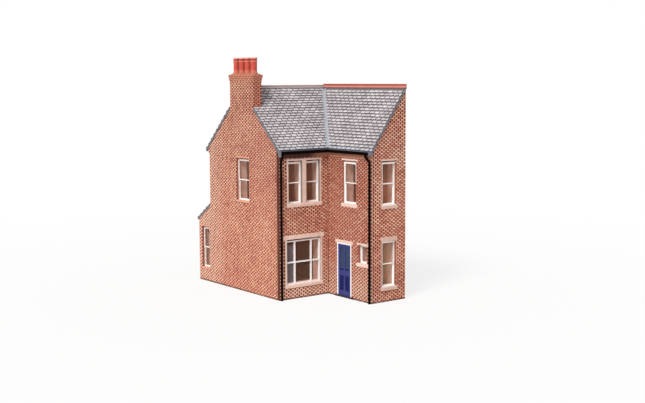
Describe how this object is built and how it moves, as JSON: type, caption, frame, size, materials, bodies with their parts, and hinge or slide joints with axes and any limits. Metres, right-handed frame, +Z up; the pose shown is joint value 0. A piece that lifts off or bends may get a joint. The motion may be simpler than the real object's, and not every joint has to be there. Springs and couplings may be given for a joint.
{
  "type": "model end-of-terrace house",
  "caption": "Small-scale resin model of a brick end-of-terrace house with a gabled wing, slate roofs, chimney and lean-to, hollow inside.",
  "frame": {"origin": "on the ground, under the middle of the bounding box", "axes": "+Z up; +X along the street to the party face, +Y from the street to the back"},
  "size_m": [0.058, 0.1226, 0.132],
  "materials": {
    "brick": "painted resin brickwork",
    "slate": "painted resin slates",
    "lead": "painted grey lead",
    "terracotta": "painted terracotta",
    "grey_ridge": "painted grey-brown ridge",
    "black_iron": "painted black ironwork",
    "fascia": "dark brown paint",
    "stone": "painted pale stone",
    "white_paint": "white paint",
    "window_glass": "clear glazing",
    "door_blue": "dark blue paint",
    "black_step": "painted black",
    "resin": "bare brown resin"
  },
  "bodies": {
    "root": {"gable_wall": "brick", "front_wall": "brick", "return_wall": "brick", "wing_gable_wall": "brick", "party_wall": "brick", "rear_wall": "brick", "lean_to_wall": "brick", "chimney_stack": "brick", "chimney_cap": "brick", "chimney_pots": "terracotta", "main_roof_front": "slate", "main_roof_rear": "slate", "wing_roof": "slate", "lean_to_roof": "slate", "valley_flashing": "lead", "lean_to_flashing": "lead", "wing_ridge_tiles": "terracotta", "main_ridge_tiles": "grey_ridge", "fascia_boards": "fascia", "street_gutter": "black_iron", "front_downpipe": "black_iron", "wing_downpipe": "black_iron", "front_upper_surround": "stone", "front_lower_surround": "stone", "return_lintels_and_sills": "stone", "wing_lintels_and_sills": "stone", "gable_lintels_and_sills": "stone", "rear_lintels_and_sills": "stone", "doorsteps": "black_step", "front_upper_frames": "white_paint", "front_lower_frame": "white_paint", "return_window_frames": "white_paint", "wing_window_frames": "white_paint", "gable_window_frames": "white_paint", "rear_window_frames": "white_paint", "front_glass": "window_glass", "wing_glass": "window_glass", "gable_glass": "window_glass", "rear_glass": "window_glass", "street_door_frame": "white_paint", "street_door": "door_blue", "back_door_frame": "white_paint", "back_door": "door_blue", "ground_floor": "resin", "upper_floor": "resin"}
  },
  "joints": []
}
